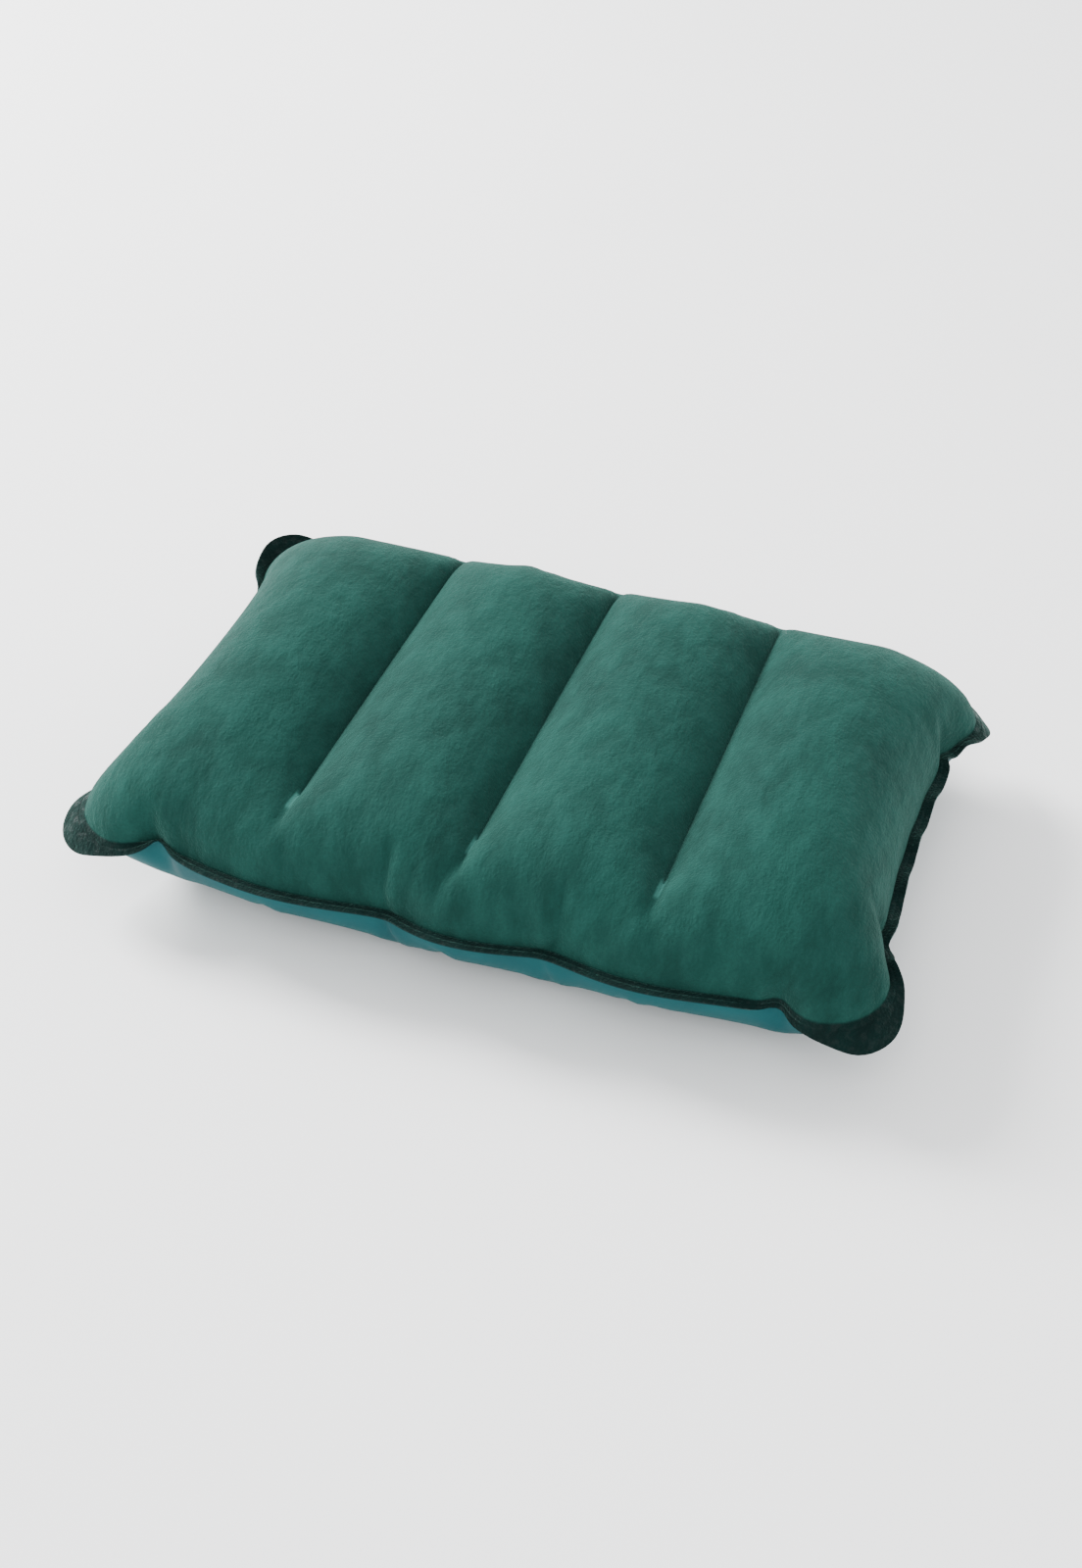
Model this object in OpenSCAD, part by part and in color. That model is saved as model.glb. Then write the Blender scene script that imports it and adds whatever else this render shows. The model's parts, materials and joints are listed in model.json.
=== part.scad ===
// Inflatable camp pillow: a flocked top sheet and a plain bottom sheet welded round the edge,
// three inner beams that hold the sheets together, and a push-in mouth valve low on the rear side.
// Millimetres. +Z is up, -Y is the front, and the origin is on the floor under the middle.

/* [Pillow] */
// Length of the inflated pillow, ear to ear
pillow_l = 440; // [380:2:540]
// Width of the inflated pillow, ear to ear
pillow_w = 282; // [234:2:340]
// Thickness of the inflated pillow at the crown of a chamber
pillow_h = 102; // [84:1:120]
// Height of the welded seam above the floor
seam_z = 51; // [42:1:58]
// How far the weight of the pillow flattens its underside
floor_sink = 1.5; // [0.5:0.1:4]
// Thickness of the flocked top sheet, film and pile together
top_t = 0.8; // [0.5:0.1:1.5]
// Thickness of the plain bottom sheet
bottom_t = 0.4; // [0.3:0.1:1]

/* [Seam] */
// Width of the welded flange along the sides
flange_w = 8; // [5:0.5:14]
// Corner radius of the flange at each ear
ear_r = 22; // [12:1:34]
// Corner radius of the air space inside the weld
chamber_r = 50; // [40:1:70]
// How far the long sides pull in between the ears
long_pull = 2; // [0:0.5:8]
// How far the short sides pull in between the ears
short_pull = 7; // [0:0.5:8]

/* [Beams] */
// Distance from one inner beam to the next
beam_pitch = 96; // [80:1:125]
// Distance from the front weld to the beams' front ends
beam_front_in = 41; // [34:1:60]
// Distance from the rear weld to the beams' rear ends
beam_rear_in = 29; // [24:1:60]
// Thickness of the beam's sheet
beam_t = 0.4; // [0.3:0.1:1]
// Width of the tab that welds a beam to a sheet
tab_w = 6; // [3:0.5:8]
// Depth of the groove that a beam pulls into a sheet
groove_d = 24; // [10:1:29]
// Distance over which a groove runs out past its beam's end
groove_run = 22; // [12:1:24]

/* [Valve] */
// Distance of the valve from the rear weld, seen from above
valve_in = 27; // [22:0.5:34]
// Radius of the valve's flange on the bottom sheet
base_r = 15; // [13:0.5:16]
// Thickness of that flange
base_t = 0.9; // [0.6:0.1:1.3]
// Radius of the well that the stem sinks into
well_r = 10; // [9.4:0.1:10.6]
// Depth of the well
well_depth = 8; // [6:0.5:10]
// Wall of the well
well_wall = 0.8; // [0.6:0.1:1.2]
// Outer radius of the stem
stem_r = 4.8; // [4.4:0.1:5.8]
// Radius of the stem's bore
bore_r = 3.2; // [2.8:0.1:3.6]
// How far the stem pulls out for blowing
stem_travel = 8; // [5:0.5:9]
// Length of the cap's tapered plug
plug_l = 3; // [2:0.1:3.4]
// Radius of the cap's head
head_r = 6.4; // [6:0.1:6.6]
// Thickness of the cap's head
head_t = 1.3; // [1:0.1:1.6]
// Thickness of the check flap
flap_t = 0.4; // [0.3:0.1:0.6]

/* [Hidden] */

weld_gap = 0.15;                    // between a sheet and what is welded to it
run_gap = 0.08;                     // between the stem and the hole that guides it
free_gap = 0.3;                     // between pieces that move past each other
end_power = 5;                      // how boxy the pillow is from end to end
front_power = 3.2;                  // how boxy it is from front to rear
groove_power = 0.75;                // how sharply a sheet turns in to a beam
ring_power = 6;                     // how close to the weld the corners start to round
chamber_a = pillow_l / 2 - flange_w;
chamber_b = pillow_w / 2 - flange_w;
beam_x = [-beam_pitch, 0, beam_pitch];
beam_front = beam_front_in - chamber_b;
beam_rear = chamber_b - beam_rear_in;
beam_l = beam_rear - beam_front;
pitch_cells = 5;                    // grid cells in half a beam pitch
end_cells = 12;                     // grid cells from the last beam to the side weld
row_cells = 19;                     // grid cells in a beam's length
rim_cells = 7;                      // grid cells from a beam's end to the weld
teal = [0.13, 0.46, 0.46];
green = [0.18, 0.38, 0.33];
dark_green = [0.05, 0.20, 0.18];

// ---- grid: columns along X and rows along Y, crowded towards the weld

function mirrored(half) = concat([for (k = [len(half) - 1 : -1 : 1]) -half[k]], half);
function evenly(to, n) = [for (k = [0 : n]) to * k / n];
function crowded(from, to, n) = [for (k = [1 : n]) from + (to - from) * sin(90 * k / n)];

xs = mirrored(concat(evenly(beam_pitch, 2 * pitch_cells), crowded(beam_pitch, chamber_a, end_cells)));
beam_ys = [for (t = evenly(beam_l, row_cells)) beam_front + t];
ys = concat(
    [for (k = [rim_cells - 1 : -1 : 0]) crowded(beam_front, -chamber_b, rim_cells)[k]],
    beam_ys,
    crowded(beam_rear, chamber_b, rim_cells)
);

// One more column and row on each side carry the flange outside the weld.
columns = len(xs) + 2;
rows = len(ys) + 2;
function grid_x(i) = xs[max(0, min(len(xs) - 1, i - 1))];
function grid_y(j) = ys[max(0, min(len(ys) - 1, j - 1))];
function in_flange(i, j) = i == 0 || i == columns - 1 || j == 0 || j == rows - 1;

// ---- plan: where a grid point lies, seen from above

// A point on the rim of a rectangle with half sides a and b, drawn in onto its corner arc.
function rounded(p, a, b, r) =
    let (
        corner = [a - r, b - r],
        out = [abs(p.x) - corner.x, abs(p.y) - corner.y]
    )
    out.x > 0 && out.y > 0
        ? let (q = corner + r * out / norm(out)) [sign(p.x) * q.x, sign(p.y) * q.y]
        : p;

// The sides pull in between the ears, and a sheet's inner face lies inside its outer one.
function waisted(p, inset) =
    let (
        u = min(1, abs(p.x) / chamber_a),
        v = min(1, abs(p.y) / chamber_b),
        pull_x = (short_pull * pow(1 - v * v, 2) + inset) * pow(u, ring_power),
        pull_y = (long_pull * pow(1 - u * u, 2) + inset) * pow(v, ring_power)
    )
    [p.x - sign(p.x) * pull_x, p.y - sign(p.y) * pull_y];

function chamber_plan(x, y, inset) =
    let (s = max(abs(x) / chamber_a, abs(y) / chamber_b))
    waisted(rounded([x, y], chamber_a * s, chamber_b * s, chamber_r * pow(s, ring_power)), inset);

function flange_plan(i, j) =
    let (
        x = i == 0 || i == columns - 1 ? sign(grid_x(i)) * pillow_l / 2 : grid_x(i),
        y = j == 0 || j == rows - 1 ? sign(grid_y(j)) * pillow_w / 2 : grid_y(j)
    )
    waisted(rounded([x, y], pillow_l / 2, pillow_w / 2, ear_r), 0);

function plan(i, j, inset) =
    in_flange(i, j) ? flange_plan(i, j) : chamber_plan(grid_x(i), grid_y(j), inset);

// ---- height: how far a sheet swells from the seam

function bulge(t, power) = sqrt(1 - pow(min(1, abs(t)), power));
function swell(x, y) = bulge(x / chamber_a, end_power) * bulge(y / chamber_b, front_power);
function fade(t, from, to) =
    let (s = max(0, min(1, (t - from) / (to - from))))
    1 - s * s * (3 - 2 * s);
function past_beam(x) = min([for (b = beam_x) min(1, abs(x - b) / (beam_pitch / 2))]);
function groove(x, y) =
    groove_d * (1 - pow(sin(90 * past_beam(x)), groove_power))
    * fade(max(beam_front - y, y - beam_rear), 0, groove_run);

top_rise = pillow_h - top_t - seam_z;
bottom_drop = seam_z - bottom_t;
// Height of the top sheet's inner face, and of the bottom sheet's outer face
function top_z(x, y) =
    seam_z + top_rise * swell(x, y) - min(groove(x, y), top_rise * swell(x, y));
function bottom_z(x, y) =
    max(0, bottom_drop - (bottom_drop + floor_sink) * swell(x, y)
        + min(groove(x, y), bottom_drop * swell(x, y)));

// ---- valve seat: a flat on the bottom sheet, square to the sheet where the valve goes through

function on_bottom(x, y) = let (p = chamber_plan(x, y, 0)) [p.x, p.y, bottom_z(x, y)];

valve_x = -beam_pitch / 2;
valve_y = chamber_b - valve_in;
slope_step = 5;
valve_pos = on_bottom(valve_x, valve_y);
valve_run = on_bottom(valve_x, valve_y + slope_step) - on_bottom(valve_x, valve_y - slope_step);
valve_turn = atan2(valve_run.z, valve_run.y) - 180;
valve_out = [0, -sin(valve_turn), cos(valve_turn)];
seat_r = base_r + 4;
seat_blend = 18;
seat_hem = 8;                       // the seat has died out this far from the weld

module at_valve() {
    translate(valve_pos) rotate([valve_turn, 0, 0]) children();
}

function seated(p, y) =
    let (
        away = p - valve_pos,
        lift = away * valve_out,
        r = norm(away - lift * valve_out),
        hold = fade(r, seat_r, seat_r + seat_blend) * fade(y, chamber_b - seat_hem, chamber_b)
    )
    p - valve_out * lift * hold;

// ---- sheets: an outer and an inner face on the grid, and a strip round the flange's edge

function top_face(lift, inset) = [
    for (j = [0 : rows - 1], i = [0 : columns - 1])
        let (p = plan(i, j, inset))
        [p.x, p.y, top_z(grid_x(i), grid_y(j)) + lift]
];

function bottom_face(lift, inset) = [
    for (j = [0 : rows - 1], i = [0 : columns - 1])
        let (p = plan(i, j, inset))
        seated([p.x, p.y, bottom_z(grid_x(i), grid_y(j))], grid_y(j)) + [0, 0, lift]
];

// A strip of two triangles for each side of a quadrilateral a, b, c, d, clockwise from outside
function quad(a, b, c, d) = [[a, b, c], [a, c, d]];

// The first face in the list of points is the upper one.
function sheet_faces() =
    let (
        under = columns * rows,
        right = columns - 1,
        rear = (rows - 1) * columns
    )
    concat(
        [for (j = [0 : rows - 2], i = [0 : columns - 2])
            let (k = i + j * columns)
            each quad(k, k + columns, k + columns + 1, k + 1)],
        [for (j = [0 : rows - 2], i = [0 : columns - 2])
            let (k = under + i + j * columns)
            each quad(k, k + 1, k + columns + 1, k + columns)],
        [for (i = [0 : columns - 2])
            each quad(i, i + 1, under + i + 1, under + i)],
        [for (i = [0 : columns - 2])
            let (k = rear + i)
            each quad(k + 1, k, under + k, under + k + 1)],
        [for (j = [0 : rows - 2])
            let (k = j * columns)
            each quad(k + columns, k, under + k, under + k + columns)],
        [for (j = [0 : rows - 2])
            let (k = right + j * columns)
            each quad(k, k + columns, under + k + columns, under + k)]
    );

module top_panel() {
    color(green)
        polyhedron(concat(top_face(top_t, 0), top_face(0, top_t)), sheet_faces(), convexity = 6);
}

module bottom_panel() {
    through = 3 * base_t;
    color(teal)
        difference() {
            polyhedron(
                concat(bottom_face(bottom_t, bottom_t), bottom_face(0, 0)),
                sheet_faces(), convexity = 6);
            at_valve()
                translate([0, 0, -through])
                    cylinder(r = well_r + well_wall + free_gap, h = 2 * through, $fn = 48);
        }
}

// ---- beams: a web with a tab along each edge, bent opposite ways and welded to the sheets

// A sheet is straight from one grid column to the next, and a tab follows it. Between two rows
// the sheet may twist, so a tab takes the slope of whichever nearby row leans furthest inwards.
function column_after(x) = min([for (g = xs) if (g > x + beam_t) g]);
function column_before(x) = max([for (g = xs) if (g < x - beam_t) g]);
function rows_near(y) = [for (g = beam_ys) if (abs(g - y) < 1.5 * beam_l / row_cells) g];

function beam_section(x, y) =
    let (
        half = beam_t / 2,
        after = column_after(x),
        before = column_before(x),
        up = top_z(x, y) - weld_gap,
        low = bottom_z(x, y) + bottom_t + weld_gap,
        up_slope = min([for (g = rows_near(y)) (top_z(after, g) - top_z(x, g)) / (after - x)]),
        low_slope = max([for (g = rows_near(y)) (bottom_z(before, g) - bottom_z(x, g)) / (x - before)]),
        tab_up = up + up_slope * tab_w,
        tab_low = low + low_slope * tab_w,
        fold_up = up - up_slope * half,
        fold_low = low - low_slope * half,
        yy = chamber_plan(x, y, 0).y
    )
    [
        [x + half, yy, fold_low], [x + half, yy, up - beam_t],
        [x + tab_w, yy, tab_up - beam_t], [x + tab_w, yy, tab_up],
        [x - half, yy, fold_up], [x - half, yy, low + beam_t],
        [x - tab_w, yy, tab_low + beam_t], [x - tab_w, yy, tab_low]
    ];

module beam(x) {
    sections = [for (y = beam_ys) beam_section(x, y)];
    sides = len(sections[0]);
    last = row_cells * sides;
    faces = concat(
        [[for (k = [0 : sides - 1]) k]],
        [[for (k = [sides - 1 : -1 : 0]) last + k]],
        [for (n = [0 : row_cells - 1], k = [0 : sides - 1])
            let (a = n * sides + k, b = n * sides + (k + 1) % sides)
            each quad(a, a + sides, b + sides, b)]
    );
    color(teal) polyhedron([for (section = sections) each section], faces, convexity = 4);
}

// ---- valve: modelled upright about its own axis, with the sheet's outer face at zero

floor_t = 1;                        // the well's floor, which guides the stem
lip_z = base_t + 0.4;               // top of the lip round the well
rim_z = base_t - 0.4;               // the stem's mouth, with the stem pushed in
bead_r = stem_r + 0.5;              // the bead round that mouth
bead_t = 0.4;
shoulder_t = 1.2;                   // the stop on the stem's inner end
shoulder_r = well_r - 1.4;
stem_foot = -(well_depth + stem_travel + free_gap + shoulder_t);

ring_t = 1;                         // the strap's ring, snapped round the stem under the bead
ring_r = stem_r + 1.7;
ring_z = rim_z - bead_t - 0.1 - ring_t;
strap_w = 5;
strap_t = 0.8;
head_z = rim_z + 0.2;               // underside of the cap's head
hinge_x = head_r + 1.4;             // the thin bend between the strap and the cap
hinge_z = head_z + head_t / 2;
bend_r = 0.4;
lug_w = 3.4;
plug_taper = 0.72;                  // how much narrower the plug is at its tip

flap_r = stem_r - 0.4;
flap_hinge_y = flap_r + 1.2;
flap_z = stem_foot - free_gap - flap_t;
tail_w = 4;

module disc(r, z, h) {
    translate([0, 0, z]) cylinder(r = r, h = h, $fn = 96);
}

module bored(r) {
    difference() {
        children();
        disc(r, -4 * well_depth, 6 * well_depth);
    }
}

module valve_base() {
    color(dark_green)
        at_valve()
            bored(stem_r + run_gap)
                difference() {
                    union() {
                        disc(base_r, weld_gap, base_t - weld_gap);
                        disc(well_r + well_wall, -well_depth, well_depth + lip_z);
                    }
                    disc(well_r, floor_t - well_depth, 2 * well_depth);
                }
}

module valve_stem() {
    hook_y = flap_hinge_y + free_gap;
    color(dark_green)
        at_valve()
            bored(bore_r)
                union() {
                    disc(stem_r, stem_foot, rim_z - stem_foot);
                    disc(bead_r, rim_z - bead_t, bead_t);
                    disc(shoulder_r, stem_foot, shoulder_t);
                    translate([-tail_w / 2, hook_y, flap_z])
                        cube([tail_w, shoulder_r - 1 - hook_y, stem_foot + shoulder_t / 2 - flap_z]);
                }
}

module valve_strap() {
    color(dark_green)
        at_valve() {
            bored(stem_r + run_gap)
                union() {
                    disc(ring_r, ring_z, ring_t);
                    translate([stem_r, -strap_w / 2, ring_z])
                        cube([hinge_x + bend_r - stem_r, strap_w, strap_t]);
                }
            translate([hinge_x - bend_r, -strap_w / 2, ring_z])
                cube([2 * bend_r, strap_w, hinge_z - ring_z]);
            translate([hinge_x, strap_w / 2, hinge_z])
                rotate([90, 0, 0]) cylinder(r = bend_r, h = strap_w, $fn = 32);
        }
}

module valve_cap() {
    plug_r = bore_r - run_gap;
    color(dark_green)
        at_valve() {
            disc(head_r, head_z, head_t);
            translate([0, -lug_w / 2, hinge_z - bend_r])
                cube([hinge_x - bend_r - free_gap, lug_w, 2 * bend_r]);
            disc(plug_r, rim_z, head_z + head_t / 2 - rim_z);
            translate([0, 0, rim_z - plug_l])
                cylinder(r1 = plug_r - plug_taper, r2 = plug_r, h = plug_l, $fn = 96);
        }
}

module valve_flap() {
    color(dark_green)
        at_valve() {
            disc(flap_r, flap_z, flap_t);
            translate([-tail_w / 2, 0, flap_z]) cube([tail_w, flap_hinge_y, flap_t]);
        }
}

top_panel();
bottom_panel();
beam(beam_x[0]);  // beam_left
beam(beam_x[1]);  // beam_middle
beam(beam_x[2]);  // beam_right
valve_base();
valve_stem();
valve_strap();
valve_cap();
valve_flap();
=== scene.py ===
import json
import math

import bmesh
import bpy
import numpy as np
from mathutils import Matrix, Vector, noise
from mathutils.geometry import delaunay_2d_cdt


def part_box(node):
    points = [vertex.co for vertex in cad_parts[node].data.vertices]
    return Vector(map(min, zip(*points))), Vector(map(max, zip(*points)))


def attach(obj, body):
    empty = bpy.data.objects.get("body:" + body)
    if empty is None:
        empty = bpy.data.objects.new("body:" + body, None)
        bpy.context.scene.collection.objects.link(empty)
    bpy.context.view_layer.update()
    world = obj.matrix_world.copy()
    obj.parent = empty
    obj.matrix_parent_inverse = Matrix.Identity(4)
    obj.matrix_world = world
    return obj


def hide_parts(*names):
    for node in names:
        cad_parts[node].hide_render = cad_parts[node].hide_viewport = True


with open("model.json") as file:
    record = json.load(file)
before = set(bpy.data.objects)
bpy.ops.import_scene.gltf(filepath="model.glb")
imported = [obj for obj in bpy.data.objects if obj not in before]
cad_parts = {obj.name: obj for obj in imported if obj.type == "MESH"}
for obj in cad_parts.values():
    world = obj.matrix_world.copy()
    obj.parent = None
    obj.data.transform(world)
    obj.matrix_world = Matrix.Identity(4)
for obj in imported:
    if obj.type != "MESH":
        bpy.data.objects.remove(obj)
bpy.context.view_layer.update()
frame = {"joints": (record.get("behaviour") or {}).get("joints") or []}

bpy.ops.object.select_all(action="DESELECT")
scene = bpy.context.scene

# ---------------------------------------------------------------- Camera
# It stands off the near long side, a little to the right of the middle, and looks down
# on the lying pillow at about forty degrees.
camera_turn = math.radians(20.05)
camera_rise = math.radians(40.7)
camera_away = 1.169
camera_aim = Vector((0.0033, -0.0127, 0.045))
camera_lens = 51.36

camera = bpy.data.objects.new("camera", bpy.data.cameras.new("camera"))
scene.collection.objects.link(camera)
scene.camera = camera
camera_back = Vector((
    math.sin(camera_turn) * math.cos(camera_rise),
    -math.cos(camera_turn) * math.cos(camera_rise),
    math.sin(camera_rise),
))
camera.data.lens = camera_lens
camera.data.dof.use_dof = False
camera.location = camera_aim + camera_away * camera_back
camera.rotation_euler = camera_back.to_track_quat("Z", "Y").to_euler()

# ---------------------------------------------------------------- The envelope, cut and blown up
# Two sheets of vinyl film are cut flat to one outline, laid face to face, and welded along
# a narrow band that widens into an ear at each corner. Three strips are welded between the
# sheets. Air then swells the space inside the weld, and each strip pulls in a groove.
cut_l = 0.480                      # the flat cut
cut_w = 0.300
ear_radius = 0.022                 # the cut's own corners
flange_w = 0.0066                  # width of the weld along the sides
weld_radius = 0.0413               # the weld turns wider than the cut, which leaves the ears
bow_l = 0.0026                     # the cut's sides bow out a little
bow_w = 0.0115
strip_pitch = 0.104                # from one strip to the next, on the flat sheet
strip_front = -0.086               # where the strips begin and end, on the flat sheet
strip_rear = 0.1215
strip_h = 0.0455                   # a strip's height between the sheets
mesh_step = 0.0065                 # size of a face of the sheets' mesh
grid_margin = 0.55 * mesh_step     # the grid keeps this far from the cut and the weld line
hair = 1e-5                        # distances under this count as none

BAND, TOP, BOTTOM, STRIP = range(4)


def past(x, y, half_l, half_w, radius):
    """How far a point of the cut lies outside a rectangle with round corners; inside is negative."""
    over_x = abs(x) - half_l + radius
    over_y = abs(y) - half_w + radius
    return math.hypot(max(over_x, 0), max(over_y, 0)) + min(max(over_x, over_y), 0) - radius


def past_cut(x, y):
    return past(x, y, cut_l / 2, cut_w / 2, ear_radius)


def past_weld(x, y):
    return past(x, y, cut_l / 2 - flange_w, cut_w / 2 - flange_w, weld_radius)


def outline(half_l, half_w, radius):
    """Points a mesh step apart, anticlockwise round a rectangle with round corners."""
    turns = max(3, round(math.pi / 2 * radius / mesh_step))
    points = []
    for k, (side_x, side_y) in enumerate(((1, -1), (1, 1), (-1, 1), (-1, -1))):
        centre = Vector((side_x * (half_l - radius), side_y * (half_w - radius)))
        for i in range(turns + 1):
            angle = math.pi / 2 * (k - 1 + i / turns)
            point = centre + radius * Vector((math.cos(angle), math.sin(angle)))
            if i == 0 and points:
                points += between(points[-1], point)
            points.append(point)
    return points + between(points[-1], points[0])


def between(start, end):
    """Points a mesh step apart along a straight side, without its two ends."""
    steps = max(1, round((end - start).length / mesh_step))
    return [start.lerp(end, i / steps) for i in range(1, steps)]


def ring_edges(first, count):
    """The edges round a closed run of points."""
    return [(first + i, first + (i + 1) % count) for i in range(count)]


# The flat pattern: the cut, the weld line, and a grid between them that runs along the strips.
cut_line = outline(cut_l / 2, cut_w / 2, ear_radius)
weld_line = outline(cut_l / 2 - flange_w, cut_w / 2 - flange_w, weld_radius)
step_x = strip_pitch / round(strip_pitch / mesh_step)
step_y = (strip_rear - strip_front) / round((strip_rear - strip_front) / mesh_step)
grid_points = []
for i in range(-int(cut_l / step_x), int(cut_l / step_x) + 1):
    for j in range(-int(cut_w / step_y), int(cut_w / step_y) + 1):
        x, y = i * step_x, strip_front + j * step_y
        if past_cut(x, y) < -grid_margin and abs(past_weld(x, y)) > grid_margin:
            grid_points.append(Vector((x, y)))
pattern_points, _, pattern_faces, _, _, _ = delaunay_2d_cdt(
    cut_line + weld_line + grid_points,
    ring_edges(0, len(cut_line)) + ring_edges(len(cut_line), len(weld_line)),
    [], 1, 1e-7,
)

envelope = bmesh.new()
flat_layer = envelope.verts.layers.float_vector.new("flat")
for x, y in pattern_points:
    envelope.verts.new((x, y, 0))
envelope.verts.ensure_lookup_table()
for corners in pattern_faces:
    envelope.faces.new([envelope.verts[k] for k in corners])
envelope.normal_update()
for face in envelope.faces:
    if face.normal.z < 0:
        face.normal_flip()
for edge in envelope.edges:
    edge.seam = all(abs(past_weld(v.co.x, v.co.y)) < hair for v in edge.verts)
bmesh.ops.join_triangles(
    envelope, faces=envelope.faces[:], cmp_seam=True,
    angle_face_threshold=0.2, angle_shape_threshold=1.2,
)

# Inside the weld the pattern is doubled: the faces there are the top sheet, and their copy is the
# bottom sheet. On the weld line the two share their points with the band.
top_faces = [f for f in envelope.faces if past_weld(*f.calc_center_median().xy) < 0]
top_points = sorted({v for f in top_faces for v in f.verts}, key=lambda v: v.index)
welded_points = [v for v in top_points if abs(past_weld(v.co.x, v.co.y)) < hair]
on_weld = set(welded_points)
free_points = [v for v in top_points if v not in on_weld]
twin = {v: v for v in welded_points}
for v in free_points:
    twin[v] = envelope.verts.new(v.co)
for face in envelope.faces:
    face.material_index = BAND
for face in top_faces:
    face.material_index = TOP
    envelope.faces.new([twin[v] for v in reversed(face.verts)]).material_index = BOTTOM

# Each strip joins a column of the top sheet's points to the same column of the bottom sheet's.
for k in (-1, 0, 1):
    column = [v for v in free_points if abs(v.co.x - k * strip_pitch) < hair]
    column = [v for v in column if strip_front - hair < v.co.y < strip_rear + hair]
    column.sort(key=lambda v: v.co.y)
    folds = [envelope.verts.new((v.co.x + strip_h / 2, v.co.y, 0)) for v in column]
    for i in range(len(column) - 1):
        a, b, c, d = column[i], column[i + 1], folds[i + 1], folds[i]
        envelope.faces.new((a, b, c, d)).material_index = STRIP
        envelope.faces.new((d, c, twin[b], twin[a])).material_index = STRIP

# The flat place of every point is kept, because the nap and the weld marks follow the cut.
start_gap = 0.0008                 # half the gap between the sheets before the air comes in
gap_clouds = 40                    # how many uneven patches of it lie along a metre
for v in envelope.verts:
    v[flat_layer] = v.co
for v in free_points:
    patch = noise.noise(Vector((v.co.x * gap_clouds, v.co.y * gap_clouds, 3.1)))
    lift = start_gap * (1 + 0.5 * patch)
    v.co.z = lift
    twin[v].co.z = -lift

# An ear starts a little bent, down or up, and the band a little waved, so that they settle that way.
ear_bend = {(-1, -1): -0.09, (1, -1): -0.28, (-1, 1): 0.10, (1, 1): -0.30}
band_wave = 0.06                   # height of the wave, for each metre outside the weld
band_wave_l = 0.0313               # its length
for v in envelope.verts:
    x, y, _ = v[flat_layer]
    out = max(0.0, past_weld(x, y))
    wide = abs(x) > cut_l / 2 - flange_w - weld_radius and abs(y) > cut_w / 2 - flange_w - weld_radius
    if wide:
        v.co.z += ear_bend[math.copysign(1, x), math.copysign(1, y)] * out
    v.co.z += band_wave * out * math.sin((0.9 * x + y) * 2 * math.pi / band_wave_l)
    v.co.x += math.copysign(bow_l * max(0, 1 - (2 * y / cut_w) ** 2) * (2 * x / cut_l) ** 2, x)
    v.co.y += math.copysign(bow_w * max(0, 1 - (2 * x / cut_l) ** 2) * abs(2 * y / cut_w), y)

envelope.verts.index_update()
air_points = [v.index for v in top_points] + [twin[v].index for v in free_points]
band_points = sorted({v.index for f in envelope.faces if f.material_index == BAND for v in f.verts})
pillow_mesh = bpy.data.meshes.new("pillow")
envelope.to_mesh(pillow_mesh)
envelope.free()
pillow = bpy.data.objects.new("pillow", pillow_mesh)
scene.collection.objects.link(pillow)
for name in ("band", "top", "bottom", "strip"):
    pillow_mesh.materials.append(bpy.data.materials.new("part_" + name))
pillow.vertex_groups.new(name="air").add(air_points, 1.0, "REPLACE")
pillow.vertex_groups.new(name="band").add(band_points, 1.0, "REPLACE")

# Blowing up: an air pressure on the two sheets, film that hardly stretches, and a stiff band.
blow_frames = 40
bpy.context.view_layer.objects.active = pillow
cloth = pillow.modifiers.new("air", "CLOTH")
film = cloth.settings
film.quality = 6
film.mass = 0.15
film.air_damping = 1
film.tension_stiffness = 3
film.compression_stiffness = 2
film.shear_stiffness = 1.5
film.bending_stiffness = 6
film.tension_damping = 10
film.compression_damping = 10
film.shear_damping = 10
film.bending_damping = 0.5
film.use_pressure = True
film.uniform_pressure_force = 500
film.vertex_group_pressure = "air"
film.effector_weights.gravity = 0
film.vertex_group_structural_stiffness = "band"
film.tension_stiffness_max = 60
film.compression_stiffness_max = 3
film.vertex_group_shear_stiffness = "band"
film.shear_stiffness_max = 10
film.vertex_group_bending = "band"
film.bending_stiffness_max = 40
cloth.collision_settings.use_collision = False
cloth.point_cache.frame_start = 1
cloth.point_cache.frame_end = blow_frames
scene.frame_start = 1
scene.frame_end = blow_frames
for number in range(1, blow_frames + 1):
    scene.frame_set(number)
bpy.ops.object.modifier_apply(modifier="air")
scene.frame_set(1)

rounded = pillow.modifiers.new("rounded", "SUBSURF")
rounded.levels = 1
rounded.render_levels = 1
bpy.ops.object.modifier_apply(modifier="rounded")

# The blown-up pillow takes the frame's own size: its box is the panels' box, less the film's thickness.
top_t = 0.0008
bottom_t = 0.0004
floor_sink = 0.0015                # how far the blown-up pillow would sink into the floor
floor_ease = 0.0024                # how far up from the floor the flattening is felt
low = Vector(map(min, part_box("top_panel")[0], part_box("bottom_panel")[0]))
high = Vector(map(max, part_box("top_panel")[1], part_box("bottom_panel")[1]))
low += Vector((top_t, top_t, bottom_t))
high -= Vector((top_t, top_t, top_t))
points = np.empty(len(pillow_mesh.vertices) * 3)
pillow_mesh.vertices.foreach_get("co", points)
points = points.reshape(-1, 3)
flat = np.empty(len(pillow_mesh.vertices) * 3)
pillow_mesh.attributes["flat"].data.foreach_get("vector", flat)
flat = flat.reshape(-1, 3)
blown_low = points.min(0)
blown_high = points.max(0)
aim_low = np.array(low) - (0, 0, floor_sink)
points = aim_low + (points - blown_low) * (np.array(high) - aim_low) / (blown_high - blown_low)


# It lies on the floor: what would sink into the floor is flattened.
def flattened(z, floor, ease):
    over = z - floor
    return floor + (over + np.sqrt(over ** 2 + ease ** 2)) / 2


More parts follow.
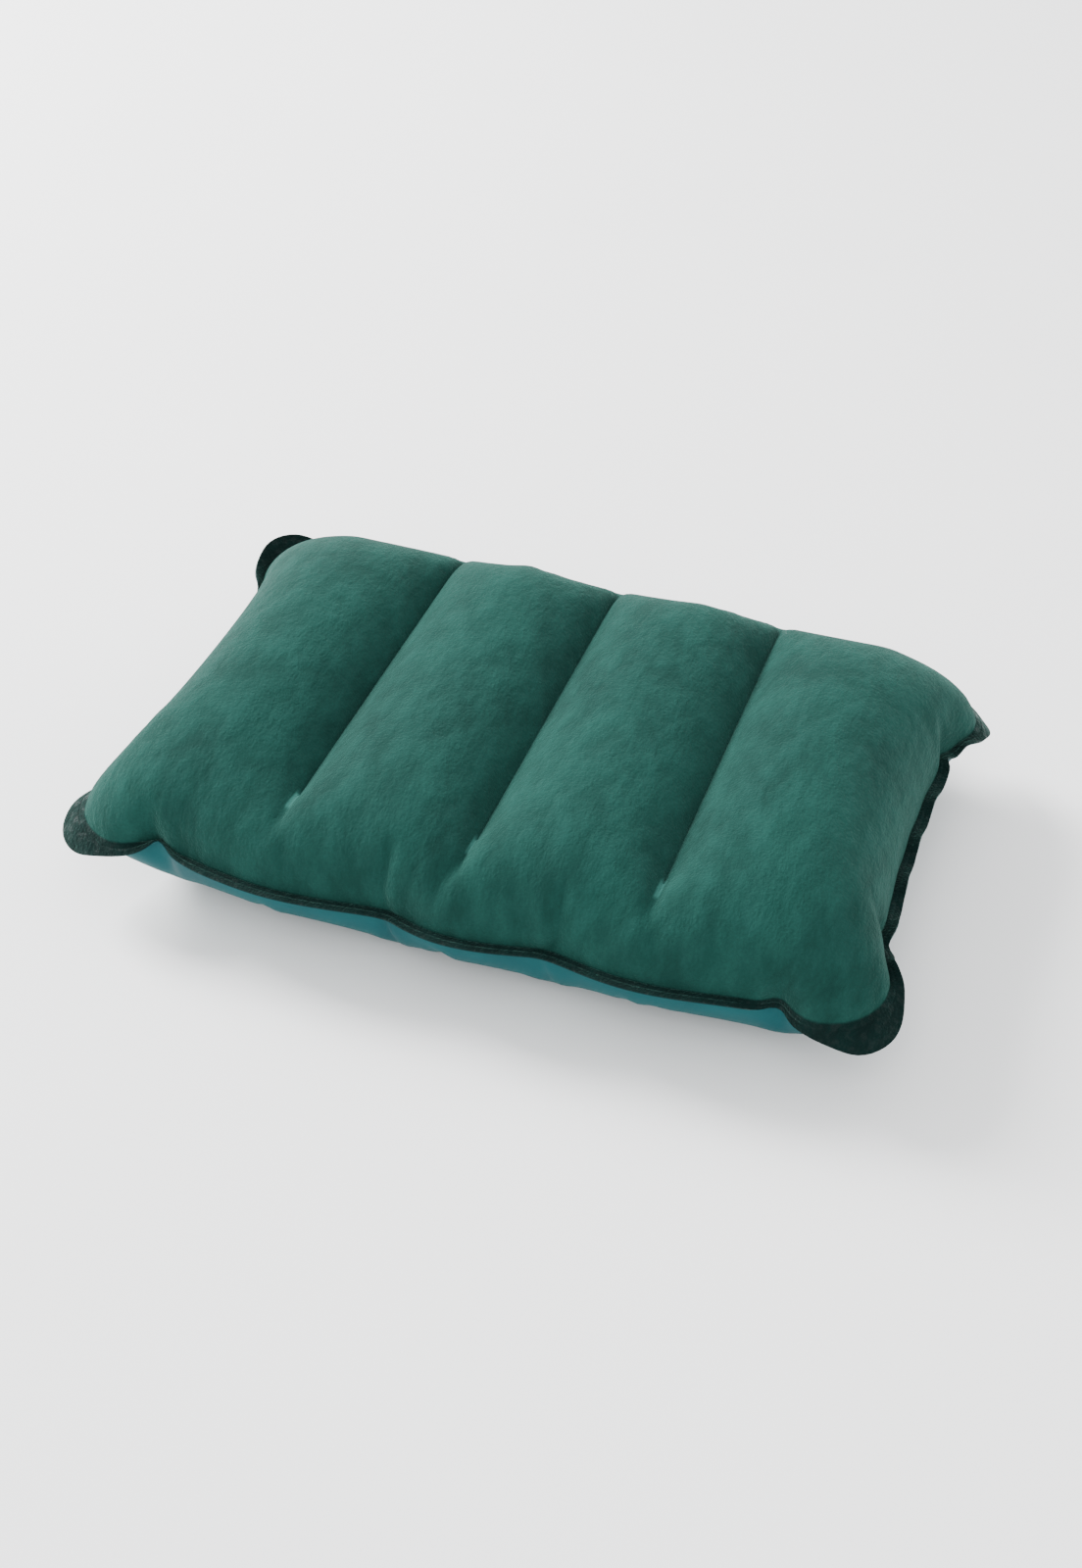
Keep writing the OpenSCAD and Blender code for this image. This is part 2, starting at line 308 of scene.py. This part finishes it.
points[:, 2] = flattened(points[:, 2], low.z, floor_ease)
points[:, 2] -= points[:, 2].min() - low.z


def fade(distance, start, end):
    """1 up to start, 0 from end on, and smooth between them."""
    share = np.clip((distance - start) / (end - start), 0, 1)
    return 1 - share * share * (3 - 2 * share)


faces = np.array([list(p.vertices) for p in pillow_mesh.polygons])
parts = np.array([p.material_index for p in pillow_mesh.polygons])
bpy.data.objects.remove(pillow)

# Along the two long sides the weld runs straighter than the blowing up leaves it.
outside_weld = np.array([past_weld(x, y) for x, y, _ in flat])
in_band = np.isin(np.arange(len(points)), faces[parts == BAND])
weld_ease = 0.020                  # the length of seam that is evened out
ease_reach = 0.022                 # how far into the sheets the evening out is felt
ease_start = 0.05                  # the evening out fades between these distances from an ear's start
ease_end = 0.012
on_seam = 2e-5                     # how near the weld line a point of the seam lies
on_side = 1e-4                     # the same across a side, when its band is picked out
for side in (-1, 1):
    end = cut_l / 2 - flange_w - weld_radius
    ahead = flat[:, 1] * side > 0
    seam = np.flatnonzero(
        ahead & in_band & (np.abs(outside_weld) < on_seam) & (np.abs(flat[:, 0]) < end))
    seam = seam[np.argsort(flat[seam, 0])]
    gaps = flat[seam, 0][:, None] - flat[seam, 0][None, :]
    weights = np.exp(-(gaps / weld_ease) ** 2)
    even = weights @ points[seam] / weights.sum(axis=1)[:, None]
    even[:, 0] = points[seam, 0]
    held_back = fade(np.abs(flat[seam, 0]), end - ease_start, end - ease_end)
    shift = (even - points[seam]) * held_back[:, None]
    near = np.flatnonzero(ahead & (np.abs(flat[:, 0]) < end) & (-outside_weld < 3 * ease_reach))
    felt = np.exp(-(np.minimum(outside_weld[near], 0) / ease_reach) ** 2)
    for k in range(3):
        points[near, k] += felt * np.interp(flat[near, 0], flat[seam, 0], shift[:, k])

# Along the straight sides the stiff weld stands out level from the sheets, with a small wave
# along the two ends. Only round the ears does it fold as the blowing up left it.
end_wave = 0.0022                  # height and length of the wave along an end
end_wave_l = 0.034
long_fade = 0.05                   # how far before an ear the levelling starts to fade
end_fade = 0.02
for axis, side in ((1, -1), (1, 1), (0, -1), (0, 1)):
    along = 1 - axis
    half = (cut_w if axis else cut_l) / 2 - flange_w
    straight = (cut_l if axis else cut_w) / 2 - flange_w - weld_radius
    near = in_band & (flat[:, axis] * side > half - on_side) & (np.abs(flat[:, along]) < straight + hair)
    seam = np.flatnonzero(near & (np.abs(outside_weld) < on_seam))
    seam = seam[np.argsort(flat[seam, along])]
    band = np.flatnonzero(near & (outside_weld > on_seam))
    level = np.empty((len(band), 3))
    for k in range(3):
        level[:, k] = np.interp(flat[band, along], flat[seam, along], points[seam, k])
    level[:, axis] += side * outside_weld[band]
    if axis == 0:
        ripple = np.sin(2 * math.pi * flat[band, along] / end_wave_l + side)
        level[:, 2] += end_wave * ripple * outside_weld[band] / flange_w
    fade_length = long_fade if axis else end_fade
    share = fade(np.abs(flat[band, along]), straight - fade_length, straight)[:, None]
    points[band] += share * (level - points[band])

# Where the valve is welded on, its stiff flange holds the bottom sheet flat.
slide = next(joint for joint in frame["joints"] if joint["name"] == "stem_slide")
swing = next(joint for joint in frame["joints"] if joint["name"] == "cap_swing")
hinge_x = 0.0078                   # from the valve's axis to the cap's hinge
hinge_z = 0.00135                  # from the sheet's outer face to the cap's hinge
valve_out = Vector(slide["axis"])
valve_side = Vector((1, 0, 0))
valve_place = Matrix((valve_side, valve_out.cross(valve_side), valve_out)).transposed().to_4x4()
valve_place.translation = Vector(swing["pos_m"]) - hinge_x * valve_side - hinge_z * valve_out
seat_radius = 0.018                # the sheet is held flat this far from the valve's axis
seat_blend = 0.022                 # from there out the sheet takes up its own curve again
bottom_used = np.unique(faces[parts == BOTTOM])
away = points[bottom_used] - np.array(valve_place.translation)
lift = away @ np.array(valve_out)
across = np.linalg.norm(away - np.outer(lift, valve_out), axis=1)
clear_of_weld = 1 - fade(-outside_weld[bottom_used], 0, flange_w)
hold = fade(across, seat_radius, seat_radius + seat_blend) * clear_of_weld
points[bottom_used] -= np.outer((lift + bottom_t) * hold, valve_out)


def sheet_of(name, wanted, flip):
    """One sheet of the envelope as its own mesh, with its cut as UV map, in metres, and how far each
    point lies outside the weld."""
    chosen = np.isin(parts, wanted)
    own_faces = faces[chosen].copy()
    if flip:
        band = parts[chosen] == BAND
        own_faces[band] = own_faces[band][:, ::-1]
    used, own_faces = np.unique(own_faces, return_inverse=True)
    own_faces = own_faces.reshape(-1, 4)
    mesh = bpy.data.meshes.new(name)
    mesh.from_pydata(points[used].tolist(), [], own_faces.tolist())
    cut_map = mesh.uv_layers.new(name="cut")
    cut_map.data.foreach_set("uv", flat[used][own_faces.ravel(), :2].ravel())
    outside = mesh.attributes.new("outside", "FLOAT", "POINT")
    outside.data.foreach_set("value", outside_weld[used])
    piece = bpy.data.objects.new(name, mesh)
    scene.collection.objects.link(piece)
    return piece


cut_edge_angle = math.radians(70)  # only a cut edge turns more than this


def thickened(piece, thickness, offset):
    """Gives a sheet its thickness, and shades it smooth but for its cut edge."""
    bpy.ops.object.select_all(action="DESELECT")
    piece.select_set(True)
    bpy.context.view_layer.objects.active = piece
    wall = piece.modifiers.new("wall", "SOLIDIFY")
    wall.thickness = thickness
    wall.offset = offset
    bpy.ops.object.modifier_apply(modifier="wall")
    bpy.ops.object.shade_smooth_by_angle(angle=cut_edge_angle)
    bpy.ops.object.select_all(action="DESELECT")


# ---------------------------------------------------------------- Top sheet
# Vinyl film flocked with short dark green nylon pile. The pile is mottled where it leans, it is crushed
# dark and smooth in the weld, where painted shade makes it darker still, and it is pressed paler where a
# strip's weld ends.
top_sheet = sheet_of("top_sheet", (BAND, TOP), flip=False)
thickened(top_sheet, top_t, 1)


def node_of(tree, kind, inputs=(), **settings):
    """Adds a node, sets its properties, and fills its sockets with values or links."""
    node = tree.nodes.new("ShaderNode" + kind)
    for key, value in settings.items():
        setattr(node, key, value)
    for socket, value in dict(inputs).items():
        if isinstance(value, bpy.types.NodeSocket):
            tree.links.new(value, node.inputs[socket])
        else:
            node.inputs[socket].default_value = value
    return node


def material_of(name, **sockets):
    """A material with one Principled shader, whose even values are set on its own sockets."""
    material = bpy.data.materials.new(name)
    material.use_nodes = True
    tree = material.node_tree
    shader = tree.nodes["Principled BSDF"]
    for socket, value in sockets.items():
        shader.inputs[socket.replace("_", " ")].default_value = value
    return material, tree, shader


def cloud(tree, place, scale, detail=3.0, roughness=0.55, low=0.35, high=0.65):
    """Noise stretched so that it runs from 0 to 1."""
    noise_node = node_of(tree, "TexNoise", {
        "Vector": place, "Scale": scale, "Detail": detail, "Roughness": roughness,
    })
    return node_of(tree, "MapRange", {
        "Value": noise_node.outputs["Fac"], "From Min": low, "From Max": high,
    }).outputs["Result"]


def blend_of(tree, share, first, second):
    """A colour mixed from two, by share."""
    mix = node_of(tree, "Mix", {0: share, 6: first, 7: second}, data_type="RGBA")
    return mix.outputs[2]


def maths(tree, operation, first, second=0.0):
    """One sum of two values, or of one where the operation takes only one."""
    return node_of(tree, "Math", {0: first, 1: second}, operation=operation).outputs[0]


def ramp(tree, value, start, end):
    """0 up to start, 1 from end on, and smooth between them."""
    return node_of(tree, "MapRange", {
        "Value": value, "From Min": start, "From Max": end,
    }, interpolation_type="SMOOTHSTEP").outputs["Result"]


flock, tree, shader = material_of(
    "green_flock", Specular_IOR_Level=0.08, Sheen_Weight=0.14, Sheen_Roughness=0.4,
    Sheen_Tint=(0.3, 0.72, 0.6, 1),
)
cut_place = node_of(tree, "UVMap", uv_map="cut").outputs["UV"]
outside = node_of(tree, "Attribute", attribute_name="outside").outputs["Fac"]
spread = node_of(tree, "VectorMath", {0: cut_place, 1: (1.0, 0.55, 1.0)}, operation="MULTIPLY")
patches = cloud(tree, spread.outputs[0], 17, detail=5, roughness=0.62, low=0.38, high=0.62)
brushing = cloud(tree, spread.outputs[0], 75, detail=5, roughness=0.65, low=0.38, high=0.66)
pile = cloud(tree, cut_place, 700, detail=3, roughness=0.7, low=0.3, high=0.7)
deep = (0.0030, 0.0245, 0.0195, 1)
mid = (0.0050, 0.038, 0.0300, 1)
pale = (0.0135, 0.071, 0.058, 1)
# The weld's dark green: the crushed pile's own colour, made darker still with painted shade along the
# band.
crushed_pile_and_shade = (0.0005, 0.0062, 0.0055, 1)
leaned = blend_of(tree, patches, deep, mid)
brushed = blend_of(tree, maths(tree, "MULTIPLY", brushing, 0.45), leaned, pale)
grained = blend_of(tree, maths(tree, "MULTIPLY", pile, 0.45), brushed, deep)

# A strip's weld ends in a small pressed tongue, one at each groove's front.
tongue_w = 0.0060
tongue_l = 0.015
tongue_y = strip_front - 0.006
parted = node_of(tree, "SeparateXYZ", {0: cut_place})
from_strip = maths(tree, "PINGPONG", parted.outputs["X"], strip_pitch / 2)
near_strip = maths(tree, "SUBTRACT", 1.0, ramp(tree, from_strip, 0.3 * tongue_w, 0.6 * tongue_w))
on_strips = maths(tree, "LESS_THAN", maths(tree, "ABSOLUTE", parted.outputs["X"]), 1.5 * strip_pitch)
from_end = maths(tree, "ABSOLUTE", maths(tree, "SUBTRACT", parted.outputs["Y"], tongue_y))
near_end = maths(tree, "SUBTRACT", 1.0, ramp(tree, from_end, 0.35 * tongue_l, 0.6 * tongue_l))
tongue = maths(tree, "MULTIPLY", maths(tree, "MULTIPLY", near_strip, near_end), on_strips)
marked = blend_of(tree, maths(tree, "MULTIPLY", tongue, 0.8), grained, (0.024, 0.098, 0.083, 1))
welded = ramp(tree, outside, -0.0012, 0.0008)
# The weld band mottles between two dark greens: crushed pile, darkened with painted shade for the shade
# under the swollen sheet.
weld_pile_and_shade = blend_of(tree, maths(tree, "MULTIPLY", brushing, 0.5), crushed_pile_and_shade, (0.0010, 0.0135, 0.0118, 1))
tree.links.new(blend_of(tree, welded, marked, weld_pile_and_shade), shader.inputs["Base Color"])
fine = node_of(tree, "Bump", {"Height": pile, "Strength": 0.45, "Distance": 0.0006})
soft = node_of(tree, "Bump", {
    "Height": brushing, "Strength": 0.4, "Distance": 0.002, "Normal": fine.outputs["Normal"],
})

# The hot tool presses fine dots into the weld, and a line runs along its middle.
dots = node_of(tree, "TexVoronoi", {"Vector": cut_place, "Scale": 620}, voronoi_dimensions="2D")
dotted = ramp(tree, dots.outputs["Distance"], 0.15, 0.6)
from_middle = maths(tree, "ABSOLUTE", maths(tree, "SUBTRACT", outside, 0.5 * flange_w))
press_line = ramp(tree, from_middle, 0.0, 0.0011)
pressed_height = maths(tree, "ADD", maths(tree, "MULTIPLY", dotted, 0.35), press_line)
pressed = node_of(tree, "Bump", {
    "Height": maths(tree, "MULTIPLY", pressed_height, welded), "Strength": 0.6, "Distance": 0.0006,
    "Normal": soft.outputs["Normal"],
})
tree.links.new(pressed.outputs["Normal"], shader.inputs["Normal"])
specks = maths(tree, "MULTIPLY", welded, cloud(tree, cut_place, 260, detail=2, low=0.5, high=0.62))
tree.links.new(node_of(tree, "MapRange", {
    "Value": specks, "To Min": 0.85, "To Max": 0.5,
}).outputs["Result"], shader.inputs["Roughness"])

top_sheet.data.materials.clear()
top_sheet.data.materials.append(flock)
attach(top_sheet, "pillow")
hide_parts("top_panel")

# ---------------------------------------------------------------- Bottom sheet
# Plain teal vinyl film with a soft gloss, welded to the top sheet round the edge. Its round hole
# lets the valve's well through.
bottom_sheet = sheet_of("bottom_sheet", (BAND, BOTTOM), flip=True)
thickened(bottom_sheet, bottom_t, 1)
hole_radius = 0.0111
punch_depth = 0.012
bpy.ops.mesh.primitive_cylinder_add(vertices=64, radius=hole_radius, depth=punch_depth)
punch = bpy.context.object
punch.matrix_world = valve_place
bpy.context.view_layer.objects.active = bottom_sheet
hole = bottom_sheet.modifiers.new("hole", "BOOLEAN")
hole.object = punch
hole.solver = "EXACT"
bpy.ops.object.modifier_apply(modifier="hole")
bpy.data.objects.remove(punch)
bpy.ops.object.select_all(action="DESELECT")

vinyl, tree, shader = material_of(
    "teal_vinyl", Roughness=0.55, Specular_IOR_Level=0.1,
)
cut_place = node_of(tree, "UVMap", uv_map="cut").outputs["UV"]
outside = node_of(tree, "Attribute", attribute_name="outside").outputs["Fac"]
wander = cloud(tree, cut_place, 22, detail=3)
grain = cloud(tree, cut_place, 700, detail=2)
teal = blend_of(tree, wander, (0.0004, 0.050, 0.056, 1), (0.0006, 0.064, 0.070, 1))
# The weld band is painted a darker teal: partly the pressed film, partly painted shade for the shade in
# the folds at the ears.
welded = ramp(tree, outside, -0.0008, 0.0008)
tree.links.new(
    blend_of(tree, welded, teal, (0.0006, 0.03, 0.032, 1)), shader.inputs["Base Color"])
fine = node_of(tree, "Bump", {"Height": grain, "Strength": 0.12, "Distance": 0.0002})
soft = node_of(tree, "Bump", {
    "Height": wander, "Strength": 0.3, "Distance": 0.0008, "Normal": fine.outputs["Normal"],
})
tree.links.new(soft.outputs["Normal"], shader.inputs["Normal"])

bottom_sheet.data.materials.clear()
bottom_sheet.data.materials.append(vinyl)
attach(bottom_sheet, "pillow")
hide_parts("bottom_panel")

# ---------------------------------------------------------------- Inner strips
# Three strips of the same film stand between the sheets. Each is folded over along both edges,
# opposite ways, and the two tabs are welded to the sheets.
strip_t = 0.0004
tab_w = step_x                     # a tab covers one column of the mesh
strip_ease = 0.00035               # from a sheet's inner face to the middle of a tab


def lean_of(part):
    """The outward direction of one sheet at each point of the envelope."""
    quads = faces[parts == part]
    across_a = points[quads[:, 2]] - points[quads[:, 0]]
    across_b = points[quads[:, 3]] - points[quads[:, 1]]
    sums = np.zeros_like(points)
    np.add.at(sums, quads, np.cross(across_a, across_b)[:, None, :])
    return sums / np.maximum(np.linalg.norm(sums, axis=1), 1e-12)[:, None]


def within(start_x, end_x):
    """Which faces lie over one part of a strip's length on the flat sheet."""
    x, y = flat[faces, 0], flat[faces, 1]
    over = (x > start_x - hair) & (x < end_x + hair)
    over &= (y > strip_front - hair) & (y < strip_rear + hair)
    return over.all(axis=1)


beam_vinyl, tree, shader = material_of(
    "strip_vinyl", Roughness=0.5, Specular_IOR_Level=0.4, Coat_Weight=0.05, Coat_Roughness=0.4,
)
clouded = cloud(tree, node_of(tree, "TexCoord").outputs["Object"], 60)
tree.links.new(
    blend_of(tree, clouded, (0.003, 0.075, 0.078, 1), (0.004, 0.094, 0.095, 1)),
    shader.inputs["Base Color"])
grain = cloud(tree, node_of(tree, "TexCoord").outputs["Object"], 900, detail=2)
fine = node_of(tree, "Bump", {"Height": grain, "Strength": 0.1, "Distance": 0.0002})
tree.links.new(fine.outputs["Normal"], shader.inputs["Normal"])

top_lean = lean_of(TOP)
bottom_lean = lean_of(BOTTOM)
for name, node, k in (
    ("strip_left", "beam_left", -1), ("strip_middle", "beam_middle", 0), ("strip_right", "beam_right", 1),
):
    middle = k * strip_pitch
    web = faces[(parts == STRIP) & within(middle, middle + strip_h / 2)]
    upper = faces[(parts == TOP) & within(middle, middle + tab_w)]
    lower = faces[(parts == BOTTOM) & within(middle - tab_w, middle)]
    placed = points.copy()
    for tab, lean in ((np.unique(upper), top_lean), (np.unique(lower), bottom_lean)):
        placed[tab] -= strip_ease * lean[tab]
    used, own_faces = np.unique(np.concatenate((web, upper, lower)), return_inverse=True)
    strip_mesh = bpy.data.meshes.new(name)
    strip_mesh.from_pydata(placed[used].tolist(), [], own_faces.reshape(-1, 4).tolist())
    strip = bpy.data.objects.new(name, strip_mesh)
    scene.collection.objects.link(strip)
    bpy.context.view_layer.objects.active = strip
    bpy.ops.object.mode_set(mode="EDIT")
    bpy.ops.mesh.select_all(action="SELECT")
    bpy.ops.mesh.normals_make_consistent(inside=False)
    bpy.ops.object.mode_set(mode="OBJECT")
    thickened(strip, strip_t, 0)
    strip_mesh.materials.append(beam_vinyl)
    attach(strip, "pillow")
    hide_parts(node)

# ---------------------------------------------------------------- Valve's flange and well
# One soft vinyl moulding: a round flange that is welded to the sheet, with fine pressed rings, and
# a well that sinks into the pillow. The hole in the well's floor guides the mouthpiece.
mm = 0.001
sharp_angle = math.radians(40)     # edges that turn more than this are broken
smooth_angle = math.radians(35)    # faces that turn less than this are shaded as one


def turned(name, profile, closed=True):
    """A round piece about the Z axis, drawn out ring by ring through (radius, height) in
    millimetres. A closed profile comes back to its first ring; an open one has a disc at each end."""
    bpy.ops.object.select_all(action="DESELECT")
    radius, height = profile[0]
    bpy.ops.mesh.primitive_circle_add(
        vertices=64, radius=radius * mm, location=(0, 0, height * mm),
        fill_type="NOTHING" if closed else "NGON",
    )
    piece = bpy.context.object
    piece.name = name
    bpy.ops.object.transform_apply(location=True, rotation=True, scale=True)
    bpy.ops.object.mode_set(mode="EDIT")
    bpy.ops.mesh.select_all(action="SELECT")
    for next_radius, next_height in profile[1:] + (profile[:1] if closed else []):
        bpy.ops.mesh.extrude_region_move(
            TRANSFORM_OT_translate={"value": (0, 0, (next_height - height) * mm)})
        share = next_radius / radius
        bpy.ops.transform.resize(value=(share, share, 1), center_override=(0, 0, next_height * mm))
        radius, height = next_radius, next_height
    bpy.ops.mesh.select_all(action="SELECT")
    bpy.ops.mesh.remove_doubles(threshold=1e-6)
    bpy.ops.mesh.normals_make_consistent(inside=False)
    bpy.ops.object.mode_set(mode="OBJECT")
    return piece


def joined(piece, low, high):
    """Adds a block between two corners, in millimetres, to a piece."""
    bpy.ops.object.select_all(action="DESELECT")
    middle = [(a + b) / 2 * mm for a, b in zip(low, high)]
    size = [(b - a) * mm for a, b in zip(low, high)]
    bpy.ops.mesh.primitive_cube_add(size=1, location=middle, scale=size)
    merged(piece, bpy.context.object)


def merged(piece, other):
    """Makes another solid one with a piece."""
    bpy.context.view_layer.objects.active = piece
    added = piece.modifiers.new("added", "BOOLEAN")
    added.operation = "UNION"
    added.solver = "EXACT"
    added.object = other
    bpy.ops.object.modifier_apply(modifier="added")
    bpy.data.objects.remove(other)


def finished(piece, material, body, node, edge=0.08):
    """Breaks a moulding's edges, puts it in its place on the pillow and ties it to the model."""
    bpy.ops.object.select_all(action="DESELECT")
    piece.select_set(True)
    bpy.context.view_layer.objects.active = piece
    soft_edge = piece.modifiers.new("soft_edge", "BEVEL")
    soft_edge.width = edge * mm
    soft_edge.segments = 2
    soft_edge.limit_method = "ANGLE"
    soft_edge.angle_limit = sharp_angle
    bpy.ops.object.modifier_apply(modifier="soft_edge")
    piece.matrix_world = valve_place
    bpy.ops.object.transform_apply(location=True, rotation=True, scale=True)
    bpy.ops.object.shade_smooth_by_angle(angle=smooth_angle)
    bpy.ops.object.select_all(action="DESELECT")
    piece.data.materials.clear()
    piece.data.materials.append(material)
    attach(piece, body)
    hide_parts(node)


moulded, tree, shader = material_of(
    "moulded_vinyl", Roughness=0.45, Specular_IOR_Level=0.3, Coat_Weight=0.05, Coat_Roughness=0.3,
)
clouded = cloud(tree, node_of(tree, "TexCoord").outputs["Object"], 120)
tree.links.new(
    blend_of(tree, clouded, (0.0025, 0.045, 0.043, 1), (0.004, 0.06, 0.057, 1)),
    shader.inputs["Base Color"])
grain = cloud(tree, node_of(tree, "TexCoord").outputs["Object"], 2500, detail=2)
fine = node_of(tree, "Bump", {"Height": grain, "Strength": 0.15, "Distance": 0.0001})
tree.links.new(fine.outputs["Normal"], shader.inputs["Normal"])

flange_and_well = turned("valve_flange_and_well", [
    (4.88, -8.0), (10.3, -8.0), (10.8, -7.5), (10.8, 0.05), (14.8, 0.05), (15.0, 0.3), (14.9, 0.7),
    (14.6, 0.9), (14.1, 0.9), (13.9, 0.72), (13.7, 0.9), (13.2, 0.9), (13.0, 0.72), (12.8, 0.9),
    (12.3, 0.9), (12.1, 0.72), (11.9, 0.9), (11.0, 0.9), (10.8, 1.3), (10.0, 1.3), (10.0, -6.6),
    (9.6, -7.0), (4.88, -7.0),
])
finished(flange_and_well, moulded, "pillow", "valve_base")

# ---------------------------------------------------------------- Mouthpiece
# A soft moulded tube that slides in the well's floor. A bead round its mouth is gripped to pull it
# out, a shoulder at its inner end stops it, and a hook beside the shoulder holds the check flap.
mouthpiece = turned("mouthpiece", [
    (3.2, -17.5), (8.3, -17.5), (8.6, -17.2), (8.6, -16.6), (8.3, -16.3), (4.8, -16.3), (4.8, 0.05),
    (5.15, 0.12), (5.3, 0.3), (5.15, 0.48), (4.9, 0.5), (3.4, 0.5), (3.2, 0.3),
])
joined(mouthpiece, (-2.0, 5.9, -18.2), (2.0, 7.6, -16.9))
finished(mouthpiece, moulded, "stem", "valve_stem", edge=0.05)

# ---------------------------------------------------------------- Cap's strap
# A flat ring round the mouthpiece with a short strap that turns up to a thin rolled end, where the
# cap bends over.
cap_strap = turned("cap_strap", [(4.88, -1.0), (6.5, -1.0), (6.5, 0.0), (4.88, 0.0)])
joined(cap_strap, (5.3, -2.5, -1.0), (8.2, 2.5, -0.2))
joined(cap_strap, (7.4, -2.5, -0.9), (8.2, 2.5, 1.35))
bpy.ops.mesh.primitive_cylinder_add(
    vertices=32, radius=0.4 * mm, depth=5.0 * mm, location=(7.8 * mm, 0, 1.35 * mm),
    rotation=(math.pi / 2, 0, 0),
)
merged(cap_strap, bpy.context.object)
finished(cap_strap, moulded, "stem", "valve_strap", edge=0.05)

# ---------------------------------------------------------------- Cap
# A round moulded cap with a dished top, a lug to the hinge, and a tapered plug that closes the
# mouthpiece.
cap = turned("cap", [
    (2.4, -2.5), (3.12, 0.5), (3.12, 0.7), (6.1, 0.7), (6.4, 0.95), (6.4, 1.7), (6.1, 2.0),
    (5.4, 2.0), (4.9, 1.8), (2.0, 1.7),
], closed=False)
joined(cap, (5.6, -1.7, 0.95), (7.1, 1.7, 1.75))
finished(cap, moulded, "cap", "valve_cap", edge=0.06)

# ---------------------------------------------------------------- Check flap
# A thin round leaf of film behind the mouthpiece, which air pushes open on its way in and shut on
# its way out. Its short tail is caught under the hook.
flap_film, tree, shader = material_of("flap_film", Roughness=0.45, Specular_IOR_Level=0.4)
clouded = cloud(tree, node_of(tree, "TexCoord").outputs["Object"], 300)
tree.links.new(
    blend_of(tree, clouded, (0.01, 0.11, 0.1, 1), (0.014, 0.135, 0.125, 1)),
    shader.inputs["Base Color"])
check_flap = turned("check_flap", [(4.4, -18.2), (4.4, -17.8)], closed=False)
joined(check_flap, (-2.0, 3.0, -18.2), (2.0, 5.6, -17.8))
finished(check_flap, flap_film, "flap", "valve_flap", edge=0.04)

# ---------------------------------------------------------------- Floor and lights
# A plain pale floor, a wide soft light from behind on the left, and weak fill from the front.
bpy.ops.mesh.primitive_plane_add(size=8, location=(0, 0, 0))
floor = bpy.context.object
floor.name = "floor"
paper, tree, shader = material_of("pale_floor", Roughness=0.9, Specular_IOR_Level=0.1)
speckle = cloud(tree, node_of(tree, "TexCoord").outputs["Object"], 3)
tree.links.new(
    blend_of(tree, speckle, (0.90, 0.90, 0.90, 1), (0.92, 0.92, 0.92, 1)),
    shader.inputs["Base Color"])
floor.data.materials.append(paper)

world = bpy.data.worlds.new("studio")
scene.world = world
world.use_nodes = True
world.node_tree.nodes["Background"].inputs["Color"].default_value = (0.97, 0.985, 1, 1)
world.node_tree.nodes["Background"].inputs["Strength"].default_value = 1.65


def soft_light(name, place, size, power):
    """A square light of one size, in metres, that faces the middle of the floor."""
    light = bpy.data.objects.new(name, bpy.data.lights.new(name, "AREA"))
    light.data.size = size
    light.data.energy = power
    light.location = place
    light.rotation_euler = Vector(place).to_track_quat("Z", "Y").to_euler()
    scene.collection.objects.link(light)


soft_light("window", (-2.3, 0.75, 1.75), 1.2, 245)
soft_light("fill", (0.5, -1.6, 2.0), 1.6, 30)
